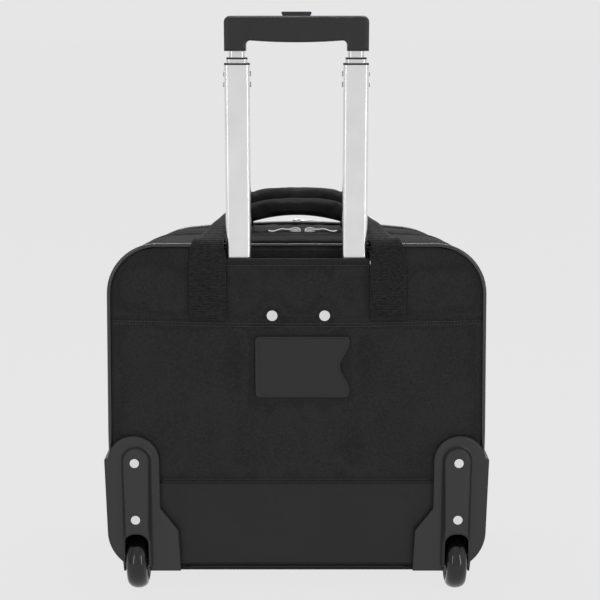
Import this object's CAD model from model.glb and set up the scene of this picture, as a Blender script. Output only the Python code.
"""Looks of the rolling laptop case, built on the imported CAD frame.  Metres, +Z up, back faces -Y."""
from math import copysign, cos, exp, hypot, pi, radians, sin, sqrt

import bmesh
import bpy
from mathutils import Matrix, Vector, noise


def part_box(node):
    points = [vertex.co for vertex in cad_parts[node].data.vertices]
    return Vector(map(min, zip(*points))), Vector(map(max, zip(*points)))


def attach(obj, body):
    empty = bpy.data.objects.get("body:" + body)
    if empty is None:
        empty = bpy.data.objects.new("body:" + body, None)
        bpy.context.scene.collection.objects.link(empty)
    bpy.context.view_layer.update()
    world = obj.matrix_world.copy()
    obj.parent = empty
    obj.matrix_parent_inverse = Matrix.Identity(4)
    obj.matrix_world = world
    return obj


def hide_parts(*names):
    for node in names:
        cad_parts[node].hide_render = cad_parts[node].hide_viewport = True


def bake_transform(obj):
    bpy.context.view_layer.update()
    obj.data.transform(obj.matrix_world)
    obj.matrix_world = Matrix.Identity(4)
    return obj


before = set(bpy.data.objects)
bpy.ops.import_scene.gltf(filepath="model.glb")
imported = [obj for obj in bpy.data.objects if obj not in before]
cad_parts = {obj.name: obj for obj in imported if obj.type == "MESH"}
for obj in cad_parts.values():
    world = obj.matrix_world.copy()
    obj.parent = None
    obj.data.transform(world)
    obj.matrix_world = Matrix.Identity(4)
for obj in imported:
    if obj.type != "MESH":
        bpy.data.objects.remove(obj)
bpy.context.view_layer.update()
MM = 0.001
TINY = 1e-9
BACK, FRONT = (0, -1, 0), (0, 1, 0)


def middle_of(box, axis):
    return (box[0][axis] + box[1][axis]) / 2


# ---- places read from the frame
ring_lo, ring_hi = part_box("gusset_rear")
mid_lo, mid_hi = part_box("mid_gusset")
lid_lo, lid_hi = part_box("lid_gusset")
card_lo, card_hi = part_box("label_pocket")
YB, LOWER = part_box("back_main_panel")[0][1:]  # back face, and foot of the main back panel
HALF, TOP, FOOT = ring_hi[0] - 0.9 * MM, ring_hi[2], ring_lo[2]
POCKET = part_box("strap_back_left")[1][2] - 7.8 * MM  # edge of the slot that the tubes come out of
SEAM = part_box("strap_back_left")[0][2]
BRACKET_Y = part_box("bracket_lower")[1][1]
TUBE_X = middle_of(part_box("stage1_tube_right"), 0)
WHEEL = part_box("tyre_right")
WHEEL_X, AXLE_Y, AXLE_Z = [middle_of(WHEEL, k) for k in range(3)]
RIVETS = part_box("bracket_rivets")
RIVET_R = (RIVETS[1][2] - RIVETS[0][2]) / 2
RIVET_X = (RIVETS[0][0] + RIVET_R, RIVETS[1][0] - RIVET_R)
RIVET_Z = middle_of(RIVETS, 2)


# ---- materials
WAVE = 0.31416  # the wave texture's scale for threads one metre apart


def put(node, **values):
    """Set or link sockets by name, with _ for a space; any other keyword is a setting of the node."""
    for key, value in values.items():
        socket = key.replace("_", " ")
        if socket not in node.inputs:
            setattr(node, key, value)
        elif isinstance(value, bpy.types.NodeSocket):
            node.id_data.links.new(value, node.inputs[socket])
        else:
            node.inputs[socket].default_value = value
    return node


def weighted(tree, total, value, share=1.0):
    """total + value * share, each a socket or a number."""
    node = put(tree.nodes.new("ShaderNodeMath"), operation="MULTIPLY_ADD")
    for socket, term in zip(node.inputs, (value, share, total)):
        if isinstance(term, bpy.types.NodeSocket):
            tree.links.new(term, socket)
        else:
            socket.default_value = term
    return node.outputs[0]


class Nodes:
    """A new material: its Principled shader and textures in the piece's own space."""

    def __init__(self):
        self.material = bpy.data.materials.new("surface")
        self.material.use_nodes = True
        self.tree = self.material.node_tree
        self.shader = self.tree.nodes["Principled BSDF"]
        self.place = self.add("ShaderNodeTexCoord").outputs["Object"]

    def add(self, kind, **values):
        return put(self.tree.nodes.new(kind), **values)

    def plus(self, total, value, share=1.0):
        return weighted(self.tree, total, value, share)

    def noise(self, scale, detail=3, stretch=None, rough=0.55):
        spot = self.place
        if stretch:
            spot = self.add("ShaderNodeMapping", Vector=spot, Scale=stretch).outputs["Vector"]
        cloud = self.add("ShaderNodeTexNoise", Scale=scale, Detail=detail, Roughness=rough, Vector=spot)
        return cloud.outputs["Fac"]

    def bands(self, direction, pitch, warp):
        wave = self.add("ShaderNodeTexWave", wave_type="BANDS", bands_direction=direction,
            Scale=WAVE / pitch, Distortion=warp, Detail_Scale=3.0, Vector=self.place)
        return wave.outputs["Fac"]

    def spread(self, value, low, high):
        """Noise, which stays near the middle of its range, opened out to the range low to high."""
        span = self.add("ShaderNodeMapRange", Value=value, From_Min=0.3, From_Max=0.7, To_Min=low,
            To_Max=high)
        return span.outputs["Result"]

    def tint(self, value, colour, dark, light):
        """Base colour times dark where value is low, times light where it is high."""
        low, high = [(*[min(1, c * share) for c in colour], 1) for share in (dark, light)]
        mix = self.add("ShaderNodeMix", data_type="RGBA", Factor=self.spread(value, 0, 1), A=low, B=high)
        put(self.shader, Base_Color=mix.outputs["Result"])

    def bump(self, height, strength, distance, edge=0.0):
        """Fine relief; a corner radius above 0 also rounds the hard edges."""
        node = self.add("ShaderNodeBump", Strength=strength, Distance=distance, Height=height)
        if edge:
            put(node, Normal=self.add("ShaderNodeBevel", Radius=edge).outputs["Normal"])
        put(self.shader, Normal=node.outputs["Normal"])

    def rough(self, value, low, high):
        put(self.shader, Roughness=self.spread(value, low, high))


def cloth(colour, pitch, depth, rough=(0.72, 0.9), sheen=0.1, mottle=0.42, ribs=None, gloss=0.25):
    """Woven cloth: crossed threads or ribs, fibre fuzz, flecks and soft blotches of tone."""
    n = Nodes()
    if ribs:
        weave = n.plus(n.bands(ribs, pitch, 2.5), n.noise(900, 2, (0.4, 1, 1)), 0.6)
        fleck, shares = n.noise(520, 3, (0.4, 1, 1), 0.75), (0.05, 0.65, 0.1)
    else:
        weave = n.plus(n.plus(n.bands("X", pitch, 3.0), n.bands("Z", pitch, 3.0)), n.bands("Y", pitch, 3.0))
        fleck, shares = n.noise(380, 3, rough=0.7), (0.3, 0.4, 0.07)
    weave = n.plus(weave, n.noise(1500, 3), 1.4)
    blotch = n.noise(16, 4)
    tone = 0
    for value, share in zip((blotch, fleck, weave), shares):
        tone = n.plus(tone, value, share)
    n.tint(n.plus(-0.7, tone, 2.4), colour, 1 - mottle, 1 + mottle)
    n.rough(blotch, *rough)
    n.bump(weave, 0.6, depth)
    put(n.shader, Sheen_Weight=sheen, Sheen_Roughness=0.45, Specular_IOR_Level=gloss)
    return n.material


def plastic(colour, rough, grain=1500, depth=0.00006, coat=0.0, edge=0.0):
    """Moulded plastic: fine spark-erosion grain, faint scuffs, corners rounded by edge."""
    n = Nodes()
    scuff = n.noise(60, 5, stretch=(1, 1, 0.25))
    n.tint(scuff, colour, 0.92, 1.08)
    n.rough(scuff, *rough)
    n.bump(n.noise(grain, 3), 0.5, depth, edge)
    put(n.shader, Coat_Weight=coat, Coat_Roughness=0.15, Specular_IOR_Level=0.5)
    return n.material


def metal(colour, rough, streak=(1, 1, 0.02)):
    """Metal with a drawn or brushed grain."""
    n = Nodes()
    grain = n.noise(2600, 2, stretch=streak)
    n.tint(n.noise(25, 3), colour, 0.95, 1.03)
    n.rough(grain, *rough)
    n.bump(grain, 0.25, 0.000003)
    put(n.shader, Metallic=1.0)
    return n.material


def hide_leather(colour):
    """Leather with small pebbles."""
    n = Nodes()
    pebbles = n.add("ShaderNodeTexVoronoi", Scale=1400, Vector=n.place)
    soft = n.noise(30, 4)
    n.tint(soft, colour, 0.85, 1.15)
    n.rough(soft, 0.42, 0.58)
    n.bump(pebbles.outputs["Distance"], 0.35, 0.0001)
    put(n.shader, Specular_IOR_Level=0.45)
    return n.material


M = {
    "cloth": cloth((0.0138, 0.0138, 0.0145), 0.0011, 0.0002, mottle=0.5),
    "gusset": cloth((0.0078, 0.0078, 0.0084), 0.0011, 0.00018, sheen=0.04),
    "coated": cloth((0.0152, 0.0152, 0.0161), 0.0006, 0.00003, (0.5, 0.62), 0.05, 0.12),
    "webbing": cloth((0.0098, 0.0098, 0.0102), 0.0019, 0.0004, mottle=0.85, ribs="Z"),
    "tape": cloth((0.0085, 0.0085, 0.009), 0.0009, 0.0001, sheen=0.04),
    "wrap": cloth((0.003, 0.003, 0.0033), 0.0009, 0.0001, (0.5, 0.66), 0.01, gloss=0.14),
    "wrap_front": cloth((0.0078, 0.0078, 0.0083), 0.0009, 0.0001, (0.6, 0.8), 0.03),
    "lining": cloth((0.075, 0.075, 0.08), 0.0008, 0.0001, (0.8, 0.95), 0.2, 0.16),
    "quilt": cloth((0.05, 0.05, 0.054), 0.0008, 0.0001, (0.75, 0.9), 0.2, 0.16),
    "tack": cloth((0.02, 0.02, 0.021), 0.0004, 0.00005, (0.6, 0.7), 0.1, 0.3),
    "thread": cloth((0.045, 0.045, 0.047), 0.0004, 0.00005, (0.6, 0.7), 0.1, 0.2),
    "piping": plastic((0.008, 0.008, 0.009), (0.1, 0.18), 500, 0.00001, 0.6),
    "housing": plastic((0.0166, 0.0169, 0.018), (0.3, 0.42), edge=0.0048),
    "grip": plastic((0.0082, 0.0084, 0.009), (0.27, 0.38), edge=0.005),
    "button": plastic((0.014, 0.0145, 0.016), (0.3, 0.42), edge=0.0012),
    "collar": plastic((0.006, 0.006, 0.006), (0.45, 0.6), 700, 0.00002),
    "board": plastic((0.03, 0.03, 0.031), (0.5, 0.65), 600, 0.0001, edge=0.001),
    "tyre": plastic((0.0035, 0.0035, 0.0038), (0.08, 0.15), 400, 0.00001, 0.1),
    "hub": plastic((0.02, 0.02, 0.022), (0.3, 0.4), edge=0.001),
    "rubber": plastic((0.02, 0.02, 0.02), (0.7, 0.85), 900, 0.0001),
    "leather": hide_leather((0.0082, 0.0082, 0.0085)),
    "tube": metal((0.86, 0.86, 0.862), (0.23, 0.26)),
    "tube_inner": metal((0.78, 0.78, 0.785), (0.25, 0.28)),
    "steel": metal((0.5, 0.5, 0.52), (0.3, 0.45)),
    "rivet": metal((0.85, 0.85, 0.86), (0.2, 0.3), (1, 1, 1)),
    "zip": metal((0.8, 0.8, 0.81), (0.15, 0.25), (1, 1, 1)),
    "coil": plastic((0.012, 0.012, 0.012), (0.25, 0.35), 900, 0.00002),
}
for key, surface in M.items():
    surface.name = key


# ---- mesh helpers
def lerp(a, b, t):
    return a + (b - a) * t


def steps(a, b, count):
    """Numbers from a to b in even steps, both ends included."""
    return [lerp(a, b, i / count) for i in range(count + 1)]


def arc(start, end, count):
    """(cosine, sine) pairs from one angle to another, in degrees, both ends included."""
    return [(cos(t), sin(t)) for t in steps(radians(start), radians(end), count)]


def circle(count):
    return arc(0, 360, count)[:-1]


def grid_faces(rows, columns, ring=False, loop=False, start=0):
    """Quads between rows of points; ring closes each row, loop joins the last row to the first."""
    faces = []
    for j in range(rows if loop else rows - 1):
        a, b = start + j * columns, start + (j + 1) % rows * columns
        for k in range(columns if ring else columns - 1):
            k2 = (k + 1) % columns
            faces.append((a + k, a + k2, b + k2, b + k))
    return faces


def end_faces(rows, columns, start=0):
    """The first and the last row as faces."""
    last = start + (rows - 1) * columns
    return [tuple(range(start, start + columns)), tuple(range(last, last + columns))]


def add_object(name, data):
    obj = bpy.data.objects.new(name, data)
    bpy.context.scene.collection.objects.link(obj)
    return obj


def piece(name, verts, faces, material, smooth=True):
    mesh = bpy.data.meshes.new(name)
    mesh.from_pydata([tuple(v) for v in verts], [], faces)
    mesh.validate()
    bm = bmesh.new()
    bm.from_mesh(mesh)
    bmesh.ops.recalc_face_normals(bm, faces=bm.faces)
    bm.to_mesh(mesh)
    bm.free()
    for polygon in mesh.polygons:
        polygon.use_smooth = smooth
    mesh.materials.append(M[material])
    return add_object(name, mesh)


def trimmed(name, verts, faces, material, keep):
    """Piece of only the faces whose centre passes keep."""
    if keep:
        faces = [face for face in faces if keep(sum((verts[k] for k in face), Vector()) / 4)]
    used = sorted({k for face in faces for k in face})
    index = {k: n for n, k in enumerate(used)}
    return piece(name, [verts[k] for k in used], [tuple(index[k] for k in f) for f in faces], material)


def settle(obj, body, slot=None, *stood_for):
    """Put a piece on its body, in its slot, in place of CAD nodes."""
    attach(obj, body)
    if stood_for:
        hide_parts(*stood_for)
    return obj


def bake(obj):
    """Apply every modifier."""
    graph = bpy.context.evaluated_depsgraph_get()
    mesh = bpy.data.meshes.new_from_object(obj.evaluated_get(graph))
    obj.modifiers.clear()
    old = obj.data
    obj.data = mesh
    bpy.data.meshes.remove(old)
    return obj


def modify(obj, kind, **values):
    modifier = obj.modifiers.new(kind.title(), kind)
    for key, value in values.items():
        setattr(modifier, key, value)


def thicken(obj, thickness, offset=-1):
    """Turn a surface into cloth with a thickness; -1 grows it inwards, 1 outwards."""
    modify(obj, "SOLIDIFY", thickness=thickness, offset=offset)
    return bake(obj)


def join(name, objs):
    """One piece from several."""
    whole = objs[0]
    with bpy.context.temp_override(active_object=whole, selected_editable_objects=objs):
        bpy.ops.object.join()
    whole.name = whole.data.name = name
    return whole


def tube(name, points, radius, material, closed=False, sides=10, flat=1.0):
    """Round or flattened cord swept along points."""
    count = len(points)
    verts = []
    normal = None
    for i, point in enumerate(points):
        before = points[i - 1] if i or closed else point
        after = points[(i + 1) % count] if i < count - 1 or closed else point
        way = (Vector(after) - Vector(before)).normalized()
        if normal is None:
            normal = way.orthogonal().normalized()
        else:
            normal = (normal - way * way.dot(normal)).normalized()
        side = way.cross(normal)
        verts += [Vector(point) + (side * c + normal * (flat * s)) * radius for c, s in circle(sides)]
    faces = grid_faces(count, sides, True, closed)
    if not closed:
        faces += end_faces(count, sides)
    return piece(name, verts, faces, material)


def walk(track, pitch, phase=None):
    """(point, direction) at even steps along a line; with no phase the steps fill its length exactly."""
    spans = [(b - a).length for a, b in zip(track, track[1:])]
    total = sum(spans)
    count = int(total / pitch)
    if phase is None:
        count, phase = max(1, count), 0.5
        pitch = total / count
    spots, at, used = [], 0, 0.0
    for n in range(count):
        want = (n + phase) * pitch
        while at < len(spans) - 1 and used + spans[at] < want:
            used += spans[at]
            at += 1
        share = min(1, max(0, (want - used) / max(spans[at], TINY)))
        way = (track[at + 1] - track[at]).normalized()
        spots.append((track[at].lerp(track[at + 1], share), way))
    return spots


def stitches(name, points, out, material="thread", pitch=0.0034, length=0.0023, radius=0.00038,
        closed=False):
    """Row of separate stitches laid along a line; out is the outward direction."""
    out, lift = Vector(out), 0.0001
    verts, faces = [], []
    track = [Vector(p) for p in points] + ([Vector(points[0])] if closed else [])
    for spot, way in walk(track, pitch):
        up = (out - way * out.dot(way)).normalized()
        side = way.cross(up)
        faces += grid_faces(4, 4, start=len(verts))
        for along, size in ((-0.5, 0.35), (-0.3, 1), (0.3, 1), (0.5, 0.35)):
            for across, high in ((-1, 0), (-0.6, 0.9), (0.6, 0.9), (1, 0)):
                verts.append(spot + way * (along * length) + side * (across * radius * size)
                    + up * (lift + high * radius * size))
    return piece(name, verts, faces, material)


def lathe(name, profile, x, material, segments):
    """Ring turned about the wheels' axle from (along, radius) points; closed section."""
    verts = [(x + along, AXLE_Y + r * c, AXLE_Z + r * s)
        for c, s in circle(segments) for along, r in profile]
    return piece(name, verts, grid_faces(segments, len(profile), True, True), material)


def rough_move(obj, size, scale, seed, only=None):
    """Low, slow unevenness along the normals, so that no panel is perfectly flat."""
    normals = [v.normal.copy() for v in obj.data.vertices]
    for v, n in zip(obj.data.vertices, normals):
        if only is None or only(v.co):
            v.co += n * (noise.noise(v.co * scale + Vector((seed, seed * 2, seed * 3))) * size)


CLOTH_FRAMES = 20


def simulate(obj, pinned, pressure, cap, slack):
    """Cloth run with fixed seams; the result is applied and no point moves further than cap."""
    scene = bpy.context.scene
    rest = [v.co.copy() for v in obj.data.vertices]
    group = obj.vertex_groups.new(name="seam")
    group.add([v.index for v in obj.data.vertices if pinned(v.co)], 1.0, "REPLACE")
    modifier = obj.modifiers.new("Cloth", "CLOTH")
    for key, value in (("vertex_group_mass", "seam"), ("quality", 5), ("mass", 0.3),
            ("tension_stiffness", 15), ("compression_stiffness", 15), ("bending_stiffness", 0.8),
            ("shrink_min", -slack), ("use_pressure", True), ("uniform_pressure_force", pressure)):
        setattr(modifier.settings, key, value)
    modifier.settings.effector_weights.gravity = 0
    modifier.collision_settings.use_collision = False
    modifier.point_cache.frame_end = CLOTH_FRAMES
    for number in range(1, CLOTH_FRAMES + 1):
        scene.frame_set(number)
    graph = bpy.context.evaluated_depsgraph_get()
    moved = [v.co.copy() for v in obj.evaluated_get(graph).to_mesh().vertices]
    obj.modifiers.clear()
    obj.vertex_groups.clear()
    scene.frame_set(1)
    for v, a, b in zip(obj.data.vertices, rest, moved):
        step = b - a
        v.co = a + step * min(1, cap / max(step.length, TINY))


def sew(obj, pinned, blow, uneven, thickness, place, only=None, offset=-1):
    """Finish a padded cloth piece: blow it up between its pins, roughen and thicken it, put it in place."""
    simulate(obj, pinned, *blow)
    rough_move(obj, *uneven, only)
    thicken(obj, thickness, offset)
    settle(obj, *place)


# ---- outline of the soft case
ARC, SIDE, ACROSS = 14, 34, 40  # points on a corner, a side, and the top or foot
R_TOP, R_FOOT = 0.055, 0.04
SOFTER = 0.026  # how much rounder the top corners are at the ridge
FALL = 0.0078  # how far the ridge hangs below its middle, 140 mm out from it
AT_ZIP = 0.4  # share of both at the first zip
FALL_FROM, FALL_FULL, FALL_X = 0.35, 0.4, 0.14  # heights where the fall starts and is full, and its 140 mm
LEAN, LEAN_FROM, LEAN_FOOT = 0.0923, 0.277, 0.19  # lean per metre, height of the full width, where it stops
SLOT_Z = 0.38


def taper(x, z):
    """The sides lean in a little towards the top."""
    return x * (1 + LEAN * (LEAN_FROM - max(z, LEAN_FOOT)))


def droop(x, z, size):
    """Height of a front section's edge, which falls away from the middle."""
    high = min(1, max(0, (z - FALL_FROM) / (FALL_FULL - FALL_FROM)))
    return z - size * high * (x / FALL_X) ** 2


def straight(a, b, normal, count):
    """Outline points from a up to b, without b."""
    return [(lerp(a[0], b[0], t), lerp(a[1], b[1], t), *normal) for t in steps(0, 1, count)[:-1]]


def outline(half, low, high, r_top, r_foot, inset=0.0):
    """(x, z, normal x, normal z) from the middle of the foot, round anticlockwise, closed."""
    half, low, high = half - inset, low + inset, high - inset
    r_top, r_foot = max(r_top - inset, 0.001), max(r_foot - inset, 0.001)
    foot, wide = half - r_foot, half - r_top
    corners = ((foot, low + r_foot, r_foot, -90), (wide, high - r_top, r_top, 0),
        (-wide, high - r_top, r_top, 90), (-foot, low + r_foot, r_foot, 180))
    points, at = [], (0, low)
    for (x, z, r, start), count in zip(corners, (ACROSS // 2, SIDE, ACROSS, SIDE)):
        bend = [(x + r * c, z + r * s, c, s) for c, s in arc(start, start + 90, ARC)]
        points += straight(at, bend[0], bend[0][2:], count) + bend[:-1]
        at = bend[-1]
    points += straight(at, (0, low), (0, -1), ACROSS // 2)
    return [(taper(x, z), z, nx, nz) for x, z, nx, nz in points]


def drooped(line, size):
    return [(x, droop(x, z, size), nx, nz) for x, z, nx, nz in line]


def rear_line(inset=0.0, share=0.0):
    """At the piping (0) the corners are crisp; towards the zip they start to droop."""
    return drooped(outline(HALF, FOOT, TOP, R_TOP + SOFTER * share, R_FOOT, inset), FALL * share)


def mid_line(share, inset=0.0):
    """From the zip (0) to the ridge (1) the top corners grow rounder and droop."""
    hang = lerp(AT_ZIP, 1, share)
    line = outline(HALF - 0.001 * share, -0.06, TOP - 0.001 * share, R_TOP + SOFTER * hang, 0.01, inset)
    return drooped(line, FALL * hang)


def lid_line(share, inset=0.0):
    """From the ridge (0) to the front edge (1) the lid grows a little smaller."""
    low, high = lid_lo[2] + 0.004 * share, lid_hi[2] - 0.006 * share
    return drooped(outline(lid_hi[0] - 0.004 * share, low, high, 0.084, 0.044, inset), FALL)


def skin(name, rows, material, keep=None):
    """Surface through rows of (y, offset outwards, closed outline)."""
    verts = [Vector((x + nx * off, y, z + nz * off)) for y, off, line in rows for x, z, nx, nz in line]
    return trimmed(name, verts, grid_faces(len(rows), len(rows[0][2]), True), material, keep)


def swollen(y0, y1, count, swell, line_of):
    """Rows for skin from y0 to y1 that stand out by swell half way; line_of(share) is the outline."""
    return [(lerp(y0, y1, t), swell * sin(pi * t), line_of(t)) for t in steps(0, 1, count)]


def off_well(p):
    """Outside the space of the wheel wells; cloth stops there."""
    return abs(abs(p[0]) - WHEEL_X) >= 0.0172 or p[2] >= 0.0775 or p[1] >= YB + 0.0495


def in_slot(p, half, deep=1.0):
    """Inside the slot that the tubes come out of."""
    return abs(p[0]) < half and p[2] > SLOT_Z and p[1] < YB + deep


def above_base(p):
    return p[2] > mid_lo[2] + 0.0005


def line_points(line, y, offset=0.0, keep=None):
    """Runs of 3-D points along an outline, split where keep says no."""
    points = [Vector((x + nx * offset, y, z + nz * offset)) for x, z, nx, nz in line]
    runs, current = [], []
    for p in points:
        if keep is None or keep(p):
            current.append(p)
        elif current:
            runs.append(current)
            current = []
    if current and runs and runs[0][0] == points[0]:
        runs[0] = current + runs[0]
    elif current:
        runs.append(current)
    return runs


# ---- rear section: gusset and piping
ZIP_Y = (ring_hi[1] + mid_lo[1]) / 2
ends = (ring_lo[1] + 0.001, ring_hi[1] - 0.005)
rows = swollen(ring_lo[1], ring_hi[1] - 0.004, 14, 0.0009, lambda t: rear_line(0, AT_ZIP * t))
gusset = skin("gusset_rear_cloth", rows, "gusset",
    lambda p: off_well(p) and not in_slot(p, 0.084, 0.0245))
sew(gusset, lambda p: p[1] < ends[0] or p[1] > ends[1] or (abs(p[0]) > 0.155 and p[2] < 0.095)
    or in_slot(p, 0.09, 0.03), (2.0, 0.0016, 0.008), (0.0006, 22, 1.3), 0.003,
    ("case", "pack_cloth", "gusset_rear"), lambda p: ends[0] < p[1] < ends[1])


def beside_fittings(p):
    """Clear of the wheel housings and of the slot, where the piping stops."""
    return not (0.136 < abs(p[0]) and p[2] < 0.165) and not in_slot(p, 0.0845)


runs = line_points(rear_line(), YB + 0.0005, 0.0003, beside_fittings)
parts = [tube("pipe", run, 0.0023, "piping") for run in runs]
arch = [(x, BRACKET_Y - 0.0012, TOP - 0.0035) for x in (-0.0845, -0.05, -0.02, 0.02, 0.05, 0.0845)]
parts.append(tube("pipe_slot", arch, 0.0021, "piping"))
settle(join("piping_rear_bead", parts), "case", "piping", "piping_rear")


# ---- zip number one
TOOTH = ((-0.0011, -0.0004), (-0.0011, 0.0005), (0.0009, 0.0008), (0.0011, 0.0))  # (across, down)


def teeth(name, line, y, toward, body, offset):
    """Coil teeth along one tape edge; toward is the side of the other tape along Y."""
    pitch, across = 0.0017, Vector((0, 1, 0))
    verts, faces = [], []
    for run in line_points(line, y, offset, lambda p: p[2] > 0.085):
        for spot, way in walk(run, pitch, 0.25 if toward > 0 else 0.75):
            out = across.cross(way)
            faces += end_faces(2, 4, len(verts)) + grid_faces(2, 4, True, start=len(verts))
            for along in (-0.25, 0.25):
                verts += [spot + way * (along * pitch) + across * (side * toward) - out * down
                    for side, down in TOOTH]
    settle(piece(name, verts, faces, "coil", smooth=False), body, "zip_metal")


def tape(name, y0, y1, line, body, keep, drop=0.0012):
    rows = [(y0, -0.0001, line), (lerp(y0, y1, 0.3), -drop * 0.8, line), (y1, -drop, line)]
    settle(thicken(skin(name, rows, "tape", keep), 0.0009), body, "pack_cloth")


rear_zip = rear_line(0, AT_ZIP)
tape("zip_tape_rear", ring_hi[1] - 0.0042, ZIP_Y - 0.0004, rear_zip, "case", off_well)
teeth("zip_teeth_rear", rear_zip, ZIP_Y - 0.0006, 1, "case", -0.002)
tape("zip_tape_mid", mid_lo[1] + 0.0042, ZIP_Y + 0.0004, mid_line(0), "file_section", above_base)
teeth("zip_teeth_mid", mid_line(0), ZIP_Y + 0.0006, -1, "file_section", -0.002)

# ---- file section: gusset, ridge bead
rows = swollen(mid_lo[1] + 0.004, mid_hi[1], 11, 0.0009, mid_line)
mid = skin("gusset_mid_cloth", rows, "gusset", above_base)
mid_ends = (mid_lo[1] + 0.006, mid_hi[1] - 0.002)
sew(mid, lambda p: p[1] < mid_ends[0] or p[1] > mid_ends[1] or p[2] < 0.045, (2.0, 0.0018, 0.01),
    (0.0007, 20, 4.1), 0.003, ("file_section", "pack_cloth", "mid_gusset"),
    lambda p: mid_ends[0] < p[1] < mid_ends[1])
ridge_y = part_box("mid_piping")[1][1] - 0.0022
runs = line_points(mid_line(1), ridge_y, 0.0018, above_base)
ridge = join("piping_mid_bead", [tube("ridge", run, 0.0026, "piping") for run in runs])
settle(ridge, "file_section", "piping", "mid_piping")


# ---- panels
def half_width(line, z):
    """Half the width of an outline at height z."""
    best = 0.0
    for (x0, z0, _, _), (x1, z1, _, _) in zip(line, line[1:] + line[:1]):
        if x0 > 0 and min(z0, z1) - TINY <= z <= max(z0, z1) + TINY:
            t = 0.5 if abs(z1 - z0) < TINY else (z - z0) / (z1 - z0)
            best = max(best, x0 + (x1 - x0) * t)
    return best


def panel(name, line, z0, z1, y, bulge, material, columns=88, keep=None):
    """Upright panel between two heights; bulge(x, z) is how far it stands out towards -Y."""
    verts = []
    rows = max(3, int((z1 - z0) / 0.0045))
    for z in steps(z0, z1, rows):
        half = half_width(line, z)
        verts += [Vector((x, y - bulge(x, z), z)) for x in steps(-half, half, columns)]
    return trimmed(name, verts, grid_faces(rows + 1, columns + 1), material, keep)


def near(value, spot, width):
    return exp(-((value - spot) / width) ** 2)


def seam_line(x):
    """The seam above the card window dips a little in the middle."""
    return SEAM + 0.005 - 0.0036 * cos(min(1, abs(x) / 0.2) * pi / 2)


def back_bulge(x, z):
    """The back panel stands out over the tubes and is drawn in along the seam and at the studs."""
    tubes = 0.0004 * max(near(x, -TUBE_X, 0.02), near(x, TUBE_X, 0.02)) * (z > 0.15)
    seam = 0.0016 * near(z, seam_line(x), 0.0024) + 0.0008 * near(z, seam_line(x) - 0.0078, 0.0016)
    studs = 0.0012 * max(near(hypot(x - rx, z - RIVET_Z), 0, 0.01) for rx in RIVET_X)
    return 0.0008 + tubes - seam - studs


inner_line = rear_line(0.002)


def main_pins(p):
    x, z = p[0], p[2]
    edge = half_width(inner_line, min(max(z, LOWER), TOP - 0.003)) - abs(x) < 0.006
    card = all(card_lo[k] - 0.004 < p[k] < card_hi[k] + 0.004 for k in (0, 2))
    stud = min(hypot(x - rx, z - RIVET_Z) for rx in RIVET_X) < 0.012
    strap_end = abs(abs(x) - 0.1) < 0.021 and z > SEAM
    return (edge or card or stud or strap_end or z < LOWER + 0.003 or z > POCKET - 0.004
        or abs(z - seam_line(x)) < 0.004)


main = panel("back_main_cloth", inner_line, LOWER, TOP - 0.002, YB + 0.0012, back_bulge, "cloth",
    keep=lambda p: not (abs(p[0]) < 0.0835 and p[2] > POCKET) and off_well(p))
sew(main, main_pins, (0.6, 0.0008, 0.001), (0.0005, 14, 8.8), 0.0025,
    ("case", "pack_cloth", "back_main_panel"))
lower = panel("back_lower_coated", inner_line, FOOT + 0.002, LOWER, YB + 0.0008, lambda x, z: 0, "coated",
    keep=off_well)
sew(lower, lambda p: p[2] < FOOT + 0.006 or p[2] > LOWER - 0.004 or abs(p[0]) > 0.135, (0.8, 0.0011, 0.001),
    (0.0003, 12, 2.2), 0.0025, ("case", "coated_cloth", "back_lower_panel"))


# ---- folded seams and their stitching
def on_back(x, z, lift=0.0):
    return (x, YB + 0.0012 - back_bulge(x, z) - lift, z)


def level(height, half, lift):
    """Points across the back panel at height(x)."""
    return [on_back(x, height(x), lift) for x in steps(-half, half, 60)]


def fold(name, height, half, lift, radius, flat):
    settle(tube(name, level(height, half, lift), radius, "cloth", flat=flat), "case", "pack_cloth")


fold("seam_upper_fold", lambda x: seam_line(x) + 0.0016, 0.209, 0, 0.001, 0.8)
rows = [stitches("row", level(height, half, 0.0006), BACK) for height, half in (
    (lambda x: seam_line(x) - 0.004, 0.207), (lambda x: seam_line(x) - 0.0075, 0.207),
    (lambda x: POCKET - 0.006, 0.082), (lambda x: LOWER + 0.004, 0.153))]
settle(join("back_stitching", rows), "case", "webbing")
fold("seam_lower_fold", lambda x: LOWER + 0.0008, 0.157, 0, 0.0012, 0.8)
fold("pocket_hem", lambda x: POCKET, 0.0835, -0.0012, 0.0018, 1.0)
binding = [(x, YB + 0.0006, FOOT - 0.0006) for x in steps(-0.15, 0.15, 30)]
settle(tube("foot_binding", binding, 0.0026, "tape"), "case", "webbing")

# cloth behind the tubes, with its stitching under the bead, and the slot's two ends
narrow = [(x * 0.39, z, nx, nz) for x, z, nx, nz in rear_line()]
back_wall = panel("slot_back_cloth", narrow, 0.36, TOP - 0.0045, BRACKET_Y - 0.0008,
    lambda x, z: 0.0004 * sin(x * 90), "cloth", 30)
settle(thicken(back_wall, 0.0006, 1), "case", "pack_cloth")
wall_y = BRACKET_Y - 0.0016
points = [(x, wall_y, TOP - 0.009) for x in (-0.082, 0, 0.082)]
settle(stitches("slot_stitching", points, BACK), "case", "webbing")
slot_ends = []
for side in (-1, 1):
    verts = [(side * (0.0842 + 0.0006 * (j % 2)), y, z) for j, y in enumerate(steps(YB + 0.001, wall_y, 4))
        for z in steps(0.37, TOP - 0.001, 4)]
    slot_ends.append(thicken(piece("slot_end", verts, grid_faces(5, 5), "cloth"), 0.001, 0))
settle(join("slot_ends_cloth", slot_ends), "case", "pack_cloth")


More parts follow.
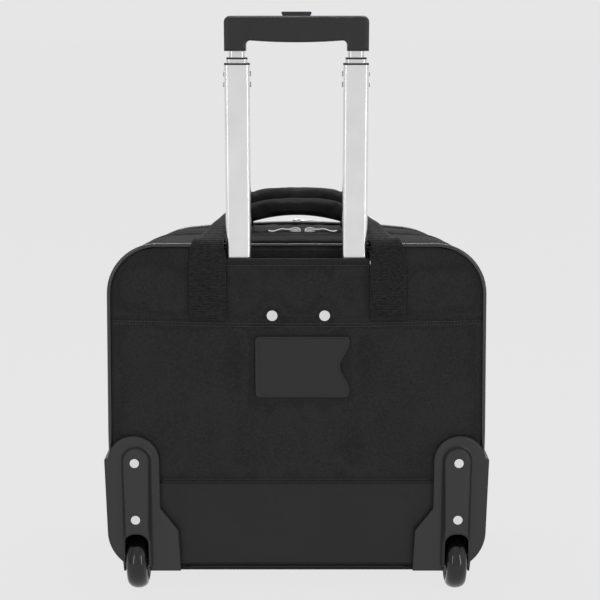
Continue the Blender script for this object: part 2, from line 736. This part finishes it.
# ---- card window
def card_outline(inset):
    """Rounded card window outline with a soft thumb notch bitten out of its right edge."""
    x0, x1, z0, z1 = card_lo[0] + inset, card_hi[0] - inset, card_lo[2] + inset, card_hi[2] - inset
    r = 0.005 - inset * 0.5
    middle, reach, deep = (z0 + z1) / 2 + 0.001, 0.027, 0.0107

    def corner(x, z, start):
        return [(x + r * c, z + r * s) for c, s in arc(start, start + 90, 6)]

    notch = [(x1 - deep * 0.5 * (1 + cos(pi * min(1, abs(z - middle) / reach))), z)
        for z in steps(z0 + r, z1 - r, 30)[1:-1]]
    return (corner(x1 - r, z0 + r, -90) + notch + corner(x1 - r, z1 - r, 0) + corner(x0 + r, z1 - r, 90)
        + corner(x0 + r, z0 + r, 180))


face_y = card_lo[1] + 0.0008
# (inset, y) of the card window's section: side, raised rim, stitched groove, face
card_steps = [(0, YB + 0.0006), (0, face_y - 0.0004), (0.0005, face_y - 0.0009), (0.0016, face_y - 0.0009),
    (0.0022, face_y - 0.0003), (0.003, face_y), (0.0036, face_y + 0.0003), (0.0042, face_y),
    (0.0045, face_y), (0.0048, face_y)]
verts = [(x, y, z) for inset, y in card_steps for x, z in card_outline(inset)]
count = len(card_outline(0))
last = len(verts) - count
hub_x, hub_z = [sum(v[k] for v in verts[last:]) / count for k in (0, 2)]
verts.append((hub_x, face_y, hub_z))
faces = grid_faces(len(card_steps), count, True)
faces += [(last + i, last + (i + 1) % count, len(verts) - 1) for i in range(count)]
settle(piece("card_pocket", verts, faces, "leather"), "case", "card_leather", "label_pocket")
sewing = [(x, face_y + 0.0001, z) for x, z in card_outline(0.0036)]
settle(stitches("card_stitching", sewing, BACK, pitch=0.0026, length=0.0017, radius=0.00034, closed=True),
    "case", "webbing")

# dark rings under the two studs, and the small eyelet beside the right tube
rings = []
for rx in RIVET_X:
    around = RIVET_R + 0.0005
    points = [on_back(rx + around * c, RIVET_Z + around * s, 0.0004) for c, s in circle(32)]
    rings.append(tube("ring", points, 0.0008, "collar", closed=True, sides=8))
settle(join("stud_rings", rings), "case", "collar")
points = [(0.0831 + 0.0008 * c, YB - 0.0022, TOP - 0.019 + 0.0026 * s) for c, s in circle(24)]
settle(tube("slot_eyelet", points, 0.0008, "rivet", closed=True, sides=8), "case", "rivet")


# ---- webbing and carry handles
# section of webbing (share of the half width, share of the half thickness)
WEB = ((-1, 0), (-0.97, 1), (-0.5, 1.08), (0, 1.0), (0.5, 1.08), (0.97, 1), (1, 0), (0.97, -1), (0, -1),
    (-0.97, -1))


def strap(name, path, material="webbing"):
    """Flat webbing along (centre, across direction, half width); both faces and rounded edges."""
    thick = 0.00095
    verts = []
    for i, (spot, across, half) in enumerate(path):
        way = (Vector(path[min(len(path) - 1, i + 1)][0]) - Vector(path[max(0, i - 1)][0])).normalized()
        across = Vector(across)
        across = (across - way * across.dot(way)).normalized()
        out = across.cross(way)
        verts += [Vector(spot) + across * (u * half) + out * (w * thick) for u, w in WEB]
    faces = grid_faces(len(path), len(WEB), True) + end_faces(len(path), len(WEB))
    return piece(name, verts, faces, material)


def smooth_path(points, count=8):
    """Catmull-Rom line through tuples of numbers."""
    out = []
    for i in range(len(points) - 1):
        p = [points[max(0, min(len(points) - 1, i + k))] for k in (-1, 0, 1, 2)]
        for s in range(count):
            t = s / count
            out.append([0.5 * (2 * b + (c - a) * t + (2 * a - 5 * b + 4 * c - d) * t * t
                + (3 * b - a - 3 * c + d) * t ** 3) for a, b, c, d in zip(*p)])
    out.append(list(points[-1]))
    return out


def level_strap(name, route, count=8):
    """Webbing along (x, y, z, half width) that lies level from side to side."""
    return strap(name, [((x, y, z), (1, 0, 0), half) for x, y, z, half in smooth_path(route, count)])


FRONT_X = 67 * MM  # middle of the front handle's webbing
TACKS = (3, 5.5, 17, 19.5, 31, 33.5, 44)  # heights of the stitch rows above the seam (mm)
rear_bar, front_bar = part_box("carry_handle_rear"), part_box("carry_handle_front")
PIVOT_Y = front_bar[1][1]
REAR_PAD = (rear_bar[1][1] - 0.0095, rear_bar[1][2] - 0.0069)
FRONT_PAD = (front_bar[0][1] + 0.0095, front_bar[1][2] - 0.0085)
# y from the back face and z from the case top, then outer edge and half width, left and right (mm)
REAR_RUN = ((-1.5, -85.0, 120.6, 20.8, 122.6, 20.0), (-1.9, -60, 120.6, 20.8, 122.6, 20.0),
    (-2.3, -35, 120.2, 20.6, 122.2, 20.0), (-2.5, -12, 119.0, 20.0, 120.6, 19.4),
    (-3.2, -1.5, 117.8, 18.8, 117.8, 18.0), (0.3, 4.4, 113.4, 16.6, 111.8, 15.2),
    (8, 8.2, 108.4, 13.8, 106.2, 12.6), (20, 12.6, 102.2, 10.8, 99.4, 9.3),
    (32, 17.2, 96.6, 9.0, 95.0, 8.2), (44, 21.6, 89.6, 11.4, 85.6, 10.6),
    (56, 25.6, 83.8, 11.8, 79.8, 11.3), (66, 28.0, 79.2, 12.0, 76.0, 12.0))
# x inwards and y from the pivot, z from the case top, then the half width (mm)
FRONT_RUN = ((0, -12, -1.7, 15), (0, -22, 11.5, 14.5), (1, -34, 22.5, 13.5), (4, -47, 32, 12))
for side, word in ((-1, "left"), (1, "right")):
    route = []
    for row in REAR_RUN:
        outer, half = row[2:4] if side < 0 else row[4:6]
        route.append((side * (outer - half) * MM, YB + row[0] * MM, TOP + row[1] * MM, half * MM))
    web = level_strap("strap_rear_" + word, route)
    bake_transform(web)
    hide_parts("strap_back_" + word)
    middle, wide = route[0][0], route[0][3] - 0.002
    across = steps(middle - wide, middle + wide, 2)
    tacks = [stitches("tack", [(x, YB - 0.0031, SEAM + h * MM) for x in across], BACK, "tack", pitch=0.0023,
        length=0.0014, radius=0.0004) for h in TACKS]
    settle(join("strap_tacks_" + word, tacks), "case", "webbing")
    route = [(side * FRONT_X, mid_hi[1] - 0.002, TOP - 0.0055, 0.015)]
    for x, y, z, half in FRONT_RUN:
        route.append((side * (FRONT_X - x * MM), PIVOT_Y + y * MM, TOP + z * MM, half * MM))
    route.append((side * (FRONT_X - 0.01), FRONT_PAD[0] + 0.001, FRONT_PAD[1] - 0.002, 0.0105))
    web = level_strap("strap_front_" + word, route)
    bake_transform(web)


def grab_pad(name, spot, body, node, half, bow, lean, tuck, material):
    """Padded wrap: an arched, flattened sausage with a welt where its edges meet."""
    cy, cz = spot
    tilt = radians(lean)
    verts = []
    for t in steps(-1, 1, 44):
        end = max(0.0, 1 - abs(t) ** tuck) ** 0.5
        tall = 0.011 * (0.5 + 0.5 * end)
        deep = 0.0086 * (0.6 + 0.4 * end)
        for c, s in circle(28):
            y = deep * copysign(abs(c) ** 0.85, c)
            z = tall * copysign(abs(s) ** 0.85, s)
            verts.append(Vector((half * t, cy + y * cos(tilt) - z * sin(tilt),
                cz - bow * t * t + y * sin(tilt) + z * cos(tilt))))
    pad = piece(name, verts, grid_faces(45, 28, True) + end_faces(45, 28), material)
    simulate(pad, lambda p: abs(p[0]) > half * 0.94, 2.5, 0.0015, 0.02)
    rough_move(pad, 0.0008, 55, cy * 50)
    modify(pad, "SUBSURF", levels=1, render_levels=1)
    settle(bake(pad), body, "webbing", node)
    welt = [(half * t, cy + 0.0094 * sin(tilt), cz - bow * t * t - 0.0094 * cos(tilt))
        for t in steps(-0.94, 0.94, 30)]
    settle(tube(name + "_welt", welt, 0.0011, "tape"), body, "webbing")


grab_pad("grab_pad_rear", REAR_PAD, "handle_rear", "carry_handle_rear", 0.064, 0.012, -14, 9, "wrap")
grab_pad("grab_pad_front", FRONT_PAD, "handle_front", "carry_handle_front", 0.06, 0.0015, 6, 5,
    "wrap_front")


# ---- front lid
LID_Y = lid_hi[1]
CLOTH_Y = LID_Y + 0.0006
HEM_Z = 0.12
lid_rows = swollen(lid_lo[1], LID_Y - 0.006, 7, 0.0012, lambda t: lid_line(0.4 * t))
lid_rows += [(LID_Y + y, off, lid_line(share)) for y, off, share in (
    (-0.003, -0.0008, 0.6), (-0.0005, -0.003, 0.8), (0.0008, -0.006, 1.0))]
lid_ring = skin("gusset_lid_cloth", lid_rows, "gusset")
sew(lid_ring, lambda p: p[1] < lid_lo[1] + 0.003 or p[1] > LID_Y - 0.004, (2.5, 0.003, 0.015),
    (0.0006, 22, 5.5), 0.0022, ("lid", "pack_cloth", "lid_gusset"))
front_line = lid_line(1.0, 0.006)
front_low, front_high = front_line[0][1], max(p[1] for p in front_line)


def zip_z(x):
    """Height of the slanted zip in the front panel."""
    return 0.292 + 0.05 * x / 0.2


def front_bulge(x, z):
    """Crown of the front panel; negative stands towards +Y."""
    crown = 0.0035 * max(0, 1 - (x / 0.2) ** 4) * max(0, 1 - ((z - 0.21) / 0.18) ** 4)
    return 0.001 * near(z, zip_z(x), 0.003) + 0.001 * near(z, HEM_Z, 0.003) - crown


def on_front(half, height, lift):
    """Points every 10 mm across the front panel at height(x)."""
    return [(x * 0.01, CLOTH_Y - front_bulge(x * 0.01, height(x * 0.01)) + lift, height(x * 0.01))
        for x in range(-half, half + 1)]


front_panel = panel("lid_front_cloth", front_line, front_low + 0.0002, front_high - 0.0002, CLOTH_Y,
    front_bulge, "cloth")
sew(front_panel, lambda p: half_width(front_line, p[2]) - abs(p[0]) < 0.005 or p[2] < front_low + 0.004
    or p[2] > front_high - 0.004 or abs(p[2] - zip_z(p[0])) < 0.004 or abs(p[2] - HEM_Z) < 0.003,
    (-1.6, 0.0016, 0.002), (0.0005, 14, 3.3), 0.002, ("lid", "pack_cloth", "lid_panel"), offset=1)
bead = tube("lid_bead", line_points(lid_line(1.0, 0.005), LID_Y + 0.001)[0], 0.0021, "piping", closed=True)
settle(bead, "lid", "piping")
zip_run = on_front(18, zip_z, 0.0016)
coil_line = tube("front_zip_coil", zip_run, 0.0016, "coil", flat=0.7)
path = [((x, y - 0.0006, z), (0, -0.25, 1), 0.009) for x, y, z in zip_run]
zip_band = strap("front_zip_tape", path, "tape")
settle(join("front_zip", [coil_line, zip_band]), "lid", "webbing")
rows = [stitches("row", on_front(18, lambda x: zip_z(x) + off, 0.0018), FRONT) for off in (0.0115, -0.0115)]
rows += [stitches("row", on_front(20, lambda x: HEM_Z + off, 0.0018), FRONT) for off in (0.004, -0.004)]
settle(join("front_stitching", rows), "lid", "webbing")
settle(tube("front_seam_fold", on_front(20, lambda x: HEM_Z, 0.0014), 0.0012, "cloth"), "lid", "pack_cloth")

# zip number two, between the ridge and the lid
tape("zip_tape_lid", lid_lo[1] + 0.003, lid_lo[1] - 0.001, lid_line(0), "lid", None, 0.0018)
teeth("zip_teeth_lid", lid_line(0), lid_lo[1] - 0.001, -1, "lid", -0.0012)


# ---- inside: laptop section and organiser
def pad_sheet(name, lo, hi, corner, out, puff, material, cells):
    """Closed panel in a box, top corners rounded, sewn into cells, swelling along Y towards out (1 or -1)."""
    across, up = 60, 44
    middle, half, thick = (lo[0] + hi[0]) / 2, (hi[0] - lo[0]) / 2, hi[1] - lo[1]
    base = lo[1] if out > 0 else hi[1]
    verts = []
    for layer in (0, 1):
        for j, z in enumerate(steps(lo[2], hi[2], up)):
            over = max(0, z - hi[2] + corner)
            wide = half - corner + sqrt(max(0, corner ** 2 - over ** 2))
            for i, x in enumerate(steps(middle - wide, middle + wide, across)):
                swell = abs(sin(pi * cells[0] * i / across) * sin(pi * cells[1] * j / up)) ** 0.4
                verts.append((x, base + out * layer * (thick * 0.5 + (thick * 0.5 + puff) * swell), z))
    row, sheet = across + 1, (across + 1) * (up + 1)
    faces = grid_faces(up + 1, row) + grid_faces(up + 1, row, start=sheet)
    rim = list(range(row)) + [j * row + across for j in range(1, up + 1)]
    rim += [up * row + i for i in range(across - 1, -1, -1)] + [j * row for j in range(up - 1, 0, -1)]
    faces += [(a, b, b + sheet, a + sheet) for a, b in zip(rim, rim[1:] + rim[:1])]
    return piece(name, verts, faces, material)


def arch_binding(name, lo, hi, corner, radius, body):
    """Bound edge up one side of a round-cornered panel, over its top and down the other side."""
    y, z = (lo[1] + hi[1]) / 2, hi[2] - corner
    points = [(lo[0], y, lerp(lo[2], z, k / 8)) for k in range(8)]
    points += [(lo[0] + corner + corner * c, y, z + corner * s) for c, s in arc(180, 90, 10)]
    points += [(hi[0] - corner + corner * c, y, z + corner * s) for c, s in arc(90, 0, 10)]
    points += [(hi[0], y, lerp(z, lo[2], k / 8)) for k in range(1, 9)]
    settle(tube(name, points, radius, "tape"), body, "lining")


def patch_pocket(name, x0, x1, z0, z1, y, out, puff):
    """Sewn-on pocket that bellies out towards its mouth, with a bound mouth and stitched sides."""
    verts = []
    across, up = 26, 16
    for v in steps(0, 1, up):
        for u in steps(0, 1, across):
            belly = max(0, sin(pi * u)) ** 0.5 * sin(pi * 0.62 * v) ** 0.7
            verts.append((lerp(x0, x1, u), y + out * (0.0012 + puff * belly), lerp(z0, z1, v)))
    pouch = thicken(piece(name, verts, grid_faces(up + 1, across + 1), "lining"), 0.0009, 0)
    mouth = tube("mouth", verts[up * (across + 1):], 0.0015, "tape", sides=8)
    left, right, low, high = x0 + 0.003, x1 - 0.003, z0 + 0.003, z1 - 0.003
    seam = [(left, z) for z in steps(high, low, 8)] + [(x, low) for x in steps(left, right, 12)[1:-1]]
    seam += [(right, z) for z in steps(low, high, 8)]
    rows = stitches("rows", [(x, y + out * 0.0019, z) for x, z in seam], (0, out, 0))
    settle(join(name, [pouch, mouth, rows]), "file_section", "lining")


def quilt(name, lo, hi, corner, cells, seed, node):
    pad = pad_sheet(name, lo, hi, corner, 1, 0.0012, "quilt", cells)
    rough_move(pad, 0.0004, 30, seed)
    settle(pad, "case", "lining", node)


pad_lo, pad_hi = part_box("laptop_pad")
quilt("laptop_back_pad", pad_lo, pad_hi, 0.05, (6, 5), 6.1, "laptop_pad")
arch_binding("laptop_pad_binding", pad_lo, pad_hi, 0.05, 0.0022, "case")
cup_lo, cup_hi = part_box("laptop_sleeve")
WALL = 3 * MM
quilt("sleeve_front_pad", (cup_lo[0], cup_hi[1] - WALL, cup_lo[2]), cup_hi, 0.006, (6, 4), 7.7,
    "laptop_sleeve")
bottom = [(x, cup_lo[2]) for x in steps(cup_lo[0] + 0.01, cup_hi[0] - 0.01, 20)]
run = [(cup_lo[0], cup_hi[2]), (cup_lo[0], cup_lo[2] + 0.01), (cup_lo[0] + 0.003, cup_lo[2] + 0.003),
    *bottom, (cup_hi[0] - 0.003, cup_lo[2] + 0.003), (cup_hi[0], cup_lo[2] + 0.01),
    (cup_hi[0], cup_hi[2])]
verts = []
for x, z in run:
    for k in range(6):
        bow = 0.0012 * sin(pi * k / 5)
        verts.append((x * (1 - 4 * bow), lerp(cup_lo[1], cup_hi[1] - 0.001, k / 5), z + bow * 0.5))
settle(thicken(piece("sleeve_gusset", verts, grid_faces(len(run), 6), "lining"), 0.002), "case", "lining")
lip = [(x, cup_hi[1] - WALL / 2, cup_hi[2]) for x in steps(cup_lo[0], cup_hi[0], 24)]
settle(tube("sleeve_binding", lip, 0.0024, "tape"), "case", "lining")
keeper = ((pad_hi[1] + 0.001, pad_hi[2] - 0.035), (pad_hi[1] + 0.004, cup_hi[2] + 0.03),
    (lerp(pad_hi[1], cup_hi[1], 0.5), cup_hi[2] + 0.014), (cup_hi[1] + 0.001, cup_hi[2] + 0.004),
    (cup_hi[1] + 0.0034, cup_hi[2] - 0.012), (cup_hi[1] + 0.0034, cup_hi[2] - 0.045))
settle(level_strap("sleeve_strap", [(0, y, z, 0.019) for y, z in keeper], 6), "case", "webbing")

leaf_lo, leaf_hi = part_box("file_divider")
leaf = pad_sheet("file_divider_leaf", leaf_lo, leaf_hi, 0.06, -1, 0.0003, "lining", (1, 1))
rough_move(leaf, 0.0012, 12, 2.9)
settle(leaf, "file_section", "lining", "file_divider")
arch_binding("file_divider_binding", leaf_lo, leaf_hi, 0.06, 0.002, "file_section")
patch_pocket("divider_pocket", -0.175, 0.175, 0.06, 0.22, leaf_lo[1], -1, 0.007)
patch_pocket("divider_file_pocket", -0.175, 0.175, 0.06, 0.26, leaf_hi[1], 1, 0.009)
wall_lo, wall_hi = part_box("mid_front_panel")
organiser = pad_sheet("organiser_wall", (wall_lo[0], wall_lo[1], wall_lo[2] + 0.001),
    (wall_hi[0], wall_hi[1], wall_hi[2] - 0.003), 0.08, 1, 0.0002, "cloth", (1, 1))
for vertex in organiser.data.vertices:
    vertex.co.z = droop(vertex.co.x, vertex.co.z, FALL)
organiser.data.transform(Matrix.Scale(0.985, 4, (1, 0, 0)))
rough_move(organiser, 0.0004, 16, 5.9)
settle(organiser, "file_section", "pack_cloth", "mid_front_panel")
for name, x0, x1, z0, z1, puff in (
        ("organiser_pocket_wide", -0.165, 0.165, 0.06, 0.185, 0.01),
        ("organiser_pocket_left", -0.16, -0.02, 0.19, 0.275, 0.008),
        ("organiser_pocket_right", 0.055, 0.16, 0.19, 0.29, 0.008),
        ("pen_pocket_1", -0.014, 0.004, 0.19, 0.3, 0.005),
        ("pen_pocket_2", 0.008, 0.026, 0.19, 0.3, 0.005),
        ("pen_pocket_3", 0.03, 0.048, 0.19, 0.3, 0.005)):
    patch_pocket(name, x0, x1, z0, z1, wall_hi[1], 1, puff)


# ---- zip sliders and pulls
def slider_body(letter):
    """Two rounded plates, narrower at one end, under a wire loop."""
    lo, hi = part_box("zip_slider_" + letter)
    cx, cy = (lo[0] + hi[0]) / 2, (lo[1] + hi[1]) / 2
    parts = []
    for z0, z1, grow in ((-0.0004, 0.0011, 1.0), (0.0011, 0.0019, 0.9)):
        points = [(cx + (hi[0] - lo[0]) * 0.5 * grow * copysign(abs(c) ** 0.6, c),
            cy + (hi[1] - lo[1]) * (0.45 + 0.05 * c) * grow * copysign(abs(s) ** 0.7, s))
            for c, s in circle(28)]
        verts = [(x, y, lo[2] + z) for z in (z0, z1) for x, y in points]
        plate = piece("plate", verts, end_faces(2, 28) + grid_faces(2, 28, True), "zip")
        modify(plate, "BEVEL", width=0.0003, segments=2)
        parts.append(bake(plate))
    loop = [(cx + 0.0052 * c, cy, lo[2] + 0.0014 + 0.0026 * s) for c, s in arc(0, 180, 12)]
    parts.append(tube("loop", loop, 0.0011, "zip", sides=8, flat=1.5))
    slider = join("slider_" + letter + "_metal", parts)
    settle(slider, "slider_" + letter, "zip_metal", "zip_slider_" + letter)


def pull_tab(letter):
    """Wavy flat tab with an eye at the slider end."""
    lo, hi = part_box("zip_pull_" + letter)
    way = 1 if lo[0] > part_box("zip_slider_" + letter)[0][0] + 0.006 else -1
    root = lo[0] if way > 0 else hi[0]
    cy, cz = (lo[1] + hi[1]) / 2, (lo[2] + hi[2]) / 2
    eye = [(root + way * (0.0034 * c - 0.0006), cy + 0.0026 * s, cz + 0.0006) for c, s in circle(20)]
    parts = [tube("eye", eye, 0.00095, "zip", closed=True, sides=8)]
    verts = []
    for t in steps(0, 1, 26):
        x = root + way * lerp(0.003, hi[0] - lo[0], t)
        wave = 0.0014 * sin(t * pi * 1.8 + 0.4)
        half = 0.0022 + 0.0012 * sin(min(1, t * 1.3) * pi * 0.5)
        if t > 0.9:
            half *= sqrt(max(0.05, 1 - ((t - 0.9) / 0.1) ** 2))
        verts += [(x, cy + u * half, cz + wave + w * 0.0006)
            for u, w in ((-1, 0), (-0.85, 1), (0.85, 1), (1, 0), (0.85, -1), (-0.85, -1))]
    parts.append(piece("tab", verts, grid_faces(27, 6, True) + end_faces(27, 6), "zip"))
    settle(join("pull_" + letter + "_metal", parts), "pull_" + letter, "zip_metal", "zip_pull_" + letter)


for letter in "abc":
    slider_body(letter)
    pull_tab(letter)

# ---- wheels
tread_half = (WHEEL[1][0] - WHEEL[0][0]) / 2
radius = (WHEEL[1][2] - WHEEL[0][2]) / 2
hub_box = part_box("hub_right")
hub_half = (hub_box[1][0] - hub_box[0][0]) / 2
tyre = [(-tread_half + 0.0012, 0.0222), (tread_half - 0.0012, 0.0222), (tread_half - 0.0002, 0.0228)]
tyre += [(tread_half * c, 0.0234 + (radius - 0.0234) * max(0, s) ** 0.92) for c, s in arc(0, 180, 20)]
tyre.append((-tread_half + 0.0002, 0.0228))
half_hub = [(hub_half, 0.0031), (hub_half, 0.0068), (hub_half - 0.0014, 0.0078), (0.0085, 0.0092),
    (0.008, 0.0182), (0.0105, 0.0205), (tread_half - 0.0008, 0.0212), (tread_half - 0.0008, 0.0222)]
hub = half_hub + [(-along, r) for along, r in reversed(half_hub)]
for side, word in ((-1, "left"), (1, "right")):
    body = "wheel_" + word
    x = side * WHEEL_X
    settle(lathe("tyre_%s_tread" % word, tyre, x, "tyre", 96), body, "tyre", "tyre_" + word)
    parts = [lathe("core", hub, x, "hub", 64)]
    for face in (-1, 1):
        for c, s in circle(5):
            line = [(x + face * 0.0092, AXLE_Y + r * c, AXLE_Z + r * s)
                for r in (0.0075, 0.012, 0.0165, 0.0205)]
            parts.append(tube("spoke", line, 0.0019, "hub", sides=8))
    settle(join("hub_%s_spoked" % word, parts), body, "hub", "hub_" + word)

# ---- carried-over hard parts
KEPT = {
    "board": "inner_board bracket_lower stage1_feet stage2_feet stage3_feet",
    "collar": "base_panel outer_collars stage1_collars stage2_collars",
    "rubber": "front_feet",
    "rivet": "bracket_rivets housing_rivets",
    "steel": "bracket_upper wheel_axles stage1_rivets grip_screws button_spring release_rods lock_pins",
    "housing": "wheel_housing_left wheel_housing_right",
    "tube": "stage1_tube_left stage1_tube_right",
    "tube_inner": "outer_tube_left outer_tube_right stage2_tube_left stage2_tube_right stage3_tube_left"
    " stage3_tube_right",
    "grip": "grip_rear_shell grip_front_shell",
    "button": "release_button",
}
BEVELLED = {"wheel_housing_left": 0.9, "wheel_housing_right": 0.9, "grip_rear_shell": 1.1,
    "grip_front_shell": 1.1, "release_button": 0.9, "bracket_rivets": 0.6, "housing_rivets": 0.5,
    "stage1_rivets": 0.5, "base_panel": 1, "front_feet": 1.5, "bracket_lower": 0.8,
    "outer_collars": 0.5, "grip_screws": 0.2}  # mm
for material, names in KEPT.items():
    for name in names.split():
        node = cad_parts[name]
        node.data.materials.clear()
        node.data.materials.append(M[material])
        for polygon in node.data.polygons:
            polygon.material_index = 0
        if name in BEVELLED:
            modify(node, "BEVEL", width=BEVELLED[name] * MM, segments=2, limit_method="ANGLE",
                angle_limit=radians(35), harden_normals=False)

# ---- light, floor, camera
SWEEP = 0.79  # what the pale backdrop shows
GLOW = 0.762  # light of the floor's own, so that the paper stays even under the case
AMBIENT = 0.15
CAMERA, TILT, LENS = (0.0038, YB - 1.45, 0.655), 78, 79.2  # place, degrees up from straight down, mm
LOBES = (  # direction, cosine where the light starts and where it is full, strength
    ((0, -1, 0.35), 0.45, 0.95, 0.55), ((0, 0.25, 1), 0.55, 0.95, 0.6), ((0, 1, 0.35), 0.4, 0.95, 0.55),
    ((-0.75, -0.5, 0.5), 0.75, 0.97, 0.2), ((0.8, -0.5, 0.4), 0.8, 0.98, 0.5),
    ((1, 0.3, 0.3), 0.6, 0.95, 0.35), ((-1, 0.3, 0.3), 0.6, 0.95, 0.3))


def studio():
    """Soft box light all round: bright above and in front, darker at the two sides."""
    world = bpy.data.worlds.new("studio")
    bpy.context.scene.world = world
    world.use_nodes = True
    tree = world.node_tree
    way = tree.nodes.new("ShaderNodeTexCoord").outputs["Generated"]
    total = AMBIENT
    for direction, low, high, gain in LOBES:
        dot = put(tree.nodes.new("ShaderNodeVectorMath"), operation="DOT_PRODUCT")
        tree.links.new(way, dot.inputs[0])
        dot.inputs[1].default_value = Vector(direction).normalized()
        lobe = put(tree.nodes.new("ShaderNodeMapRange"), interpolation_type="SMOOTHSTEP",
            Value=dot.outputs["Value"], From_Min=low, From_Max=high, To_Max=gain)
        total = weighted(tree, total, lobe.outputs["Result"])
    seen = tree.nodes.new("ShaderNodeLightPath").outputs["Is Camera Ray"]
    choose = put(tree.nodes.new("ShaderNodeMix"), Factor=seen, A=total, B=SWEEP)
    put(tree.nodes["Background"], Strength=choose.outputs["Result"], Color=(1, 1, 1, 1))


def strip_light(name, place, aim, wide, tall, power):
    """Long narrow soft box that gives glossy edges a crisp line."""
    data = bpy.data.lights.new(name, "AREA")
    data.shape = "RECTANGLE"
    data.size = wide
    data.size_y = tall
    data.energy = power
    lamp = add_object(name, data)
    lamp.location = place
    lamp.rotation_euler = (Vector(aim) - Vector(place)).to_track_quat("-Z", "Y").to_euler()
    lamp.visible_camera = False


def pale_floor(reach=40.0):
    """Pale paper that glows a little."""
    paper = Nodes()
    paper.tint(paper.noise(3, 2), (0.03, 0.03, 0.03), 0.98, 1.02)
    put(paper.shader, Roughness=0.95, Specular_IOR_Level=0.0, Emission_Color=(1, 1, 1, 1),
        Emission_Strength=GLOW)
    mesh = bpy.data.meshes.new("floor")
    mesh.from_pydata([(x, y, 0) for y in (-reach, reach) for x in (-reach, reach)], [], [(0, 1, 3, 2)])
    mesh.materials.append(paper.material)
    add_object("floor", mesh)


def photographer():
    """Camera at the photo's height and angle."""
    data = bpy.data.cameras.new("camera")
    data.sensor_width = 36
    data.lens = LENS
    camera = add_object("camera", data)
    camera.location = CAMERA
    camera.rotation_euler = (radians(TILT), 0, 0)
    bpy.context.scene.camera = camera
    bpy.context.scene.view_settings.view_transform = "Standard"


studio()
strip_light("strip_top", (0, 0.25, 1.9), (0, -0.02, 0.4), 1.6, 0.14, 16)
strip_light("strip_left", (-1.0, -1.7, 0.75), (0, -0.1, 0.3), 0.1, 1.2, 2.6)
strip_light("strip_right", (1.05, -1.5, 0.65), (0, -0.1, 0.3), 0.12, 1.3, 3.2)
pale_floor()
photographer()
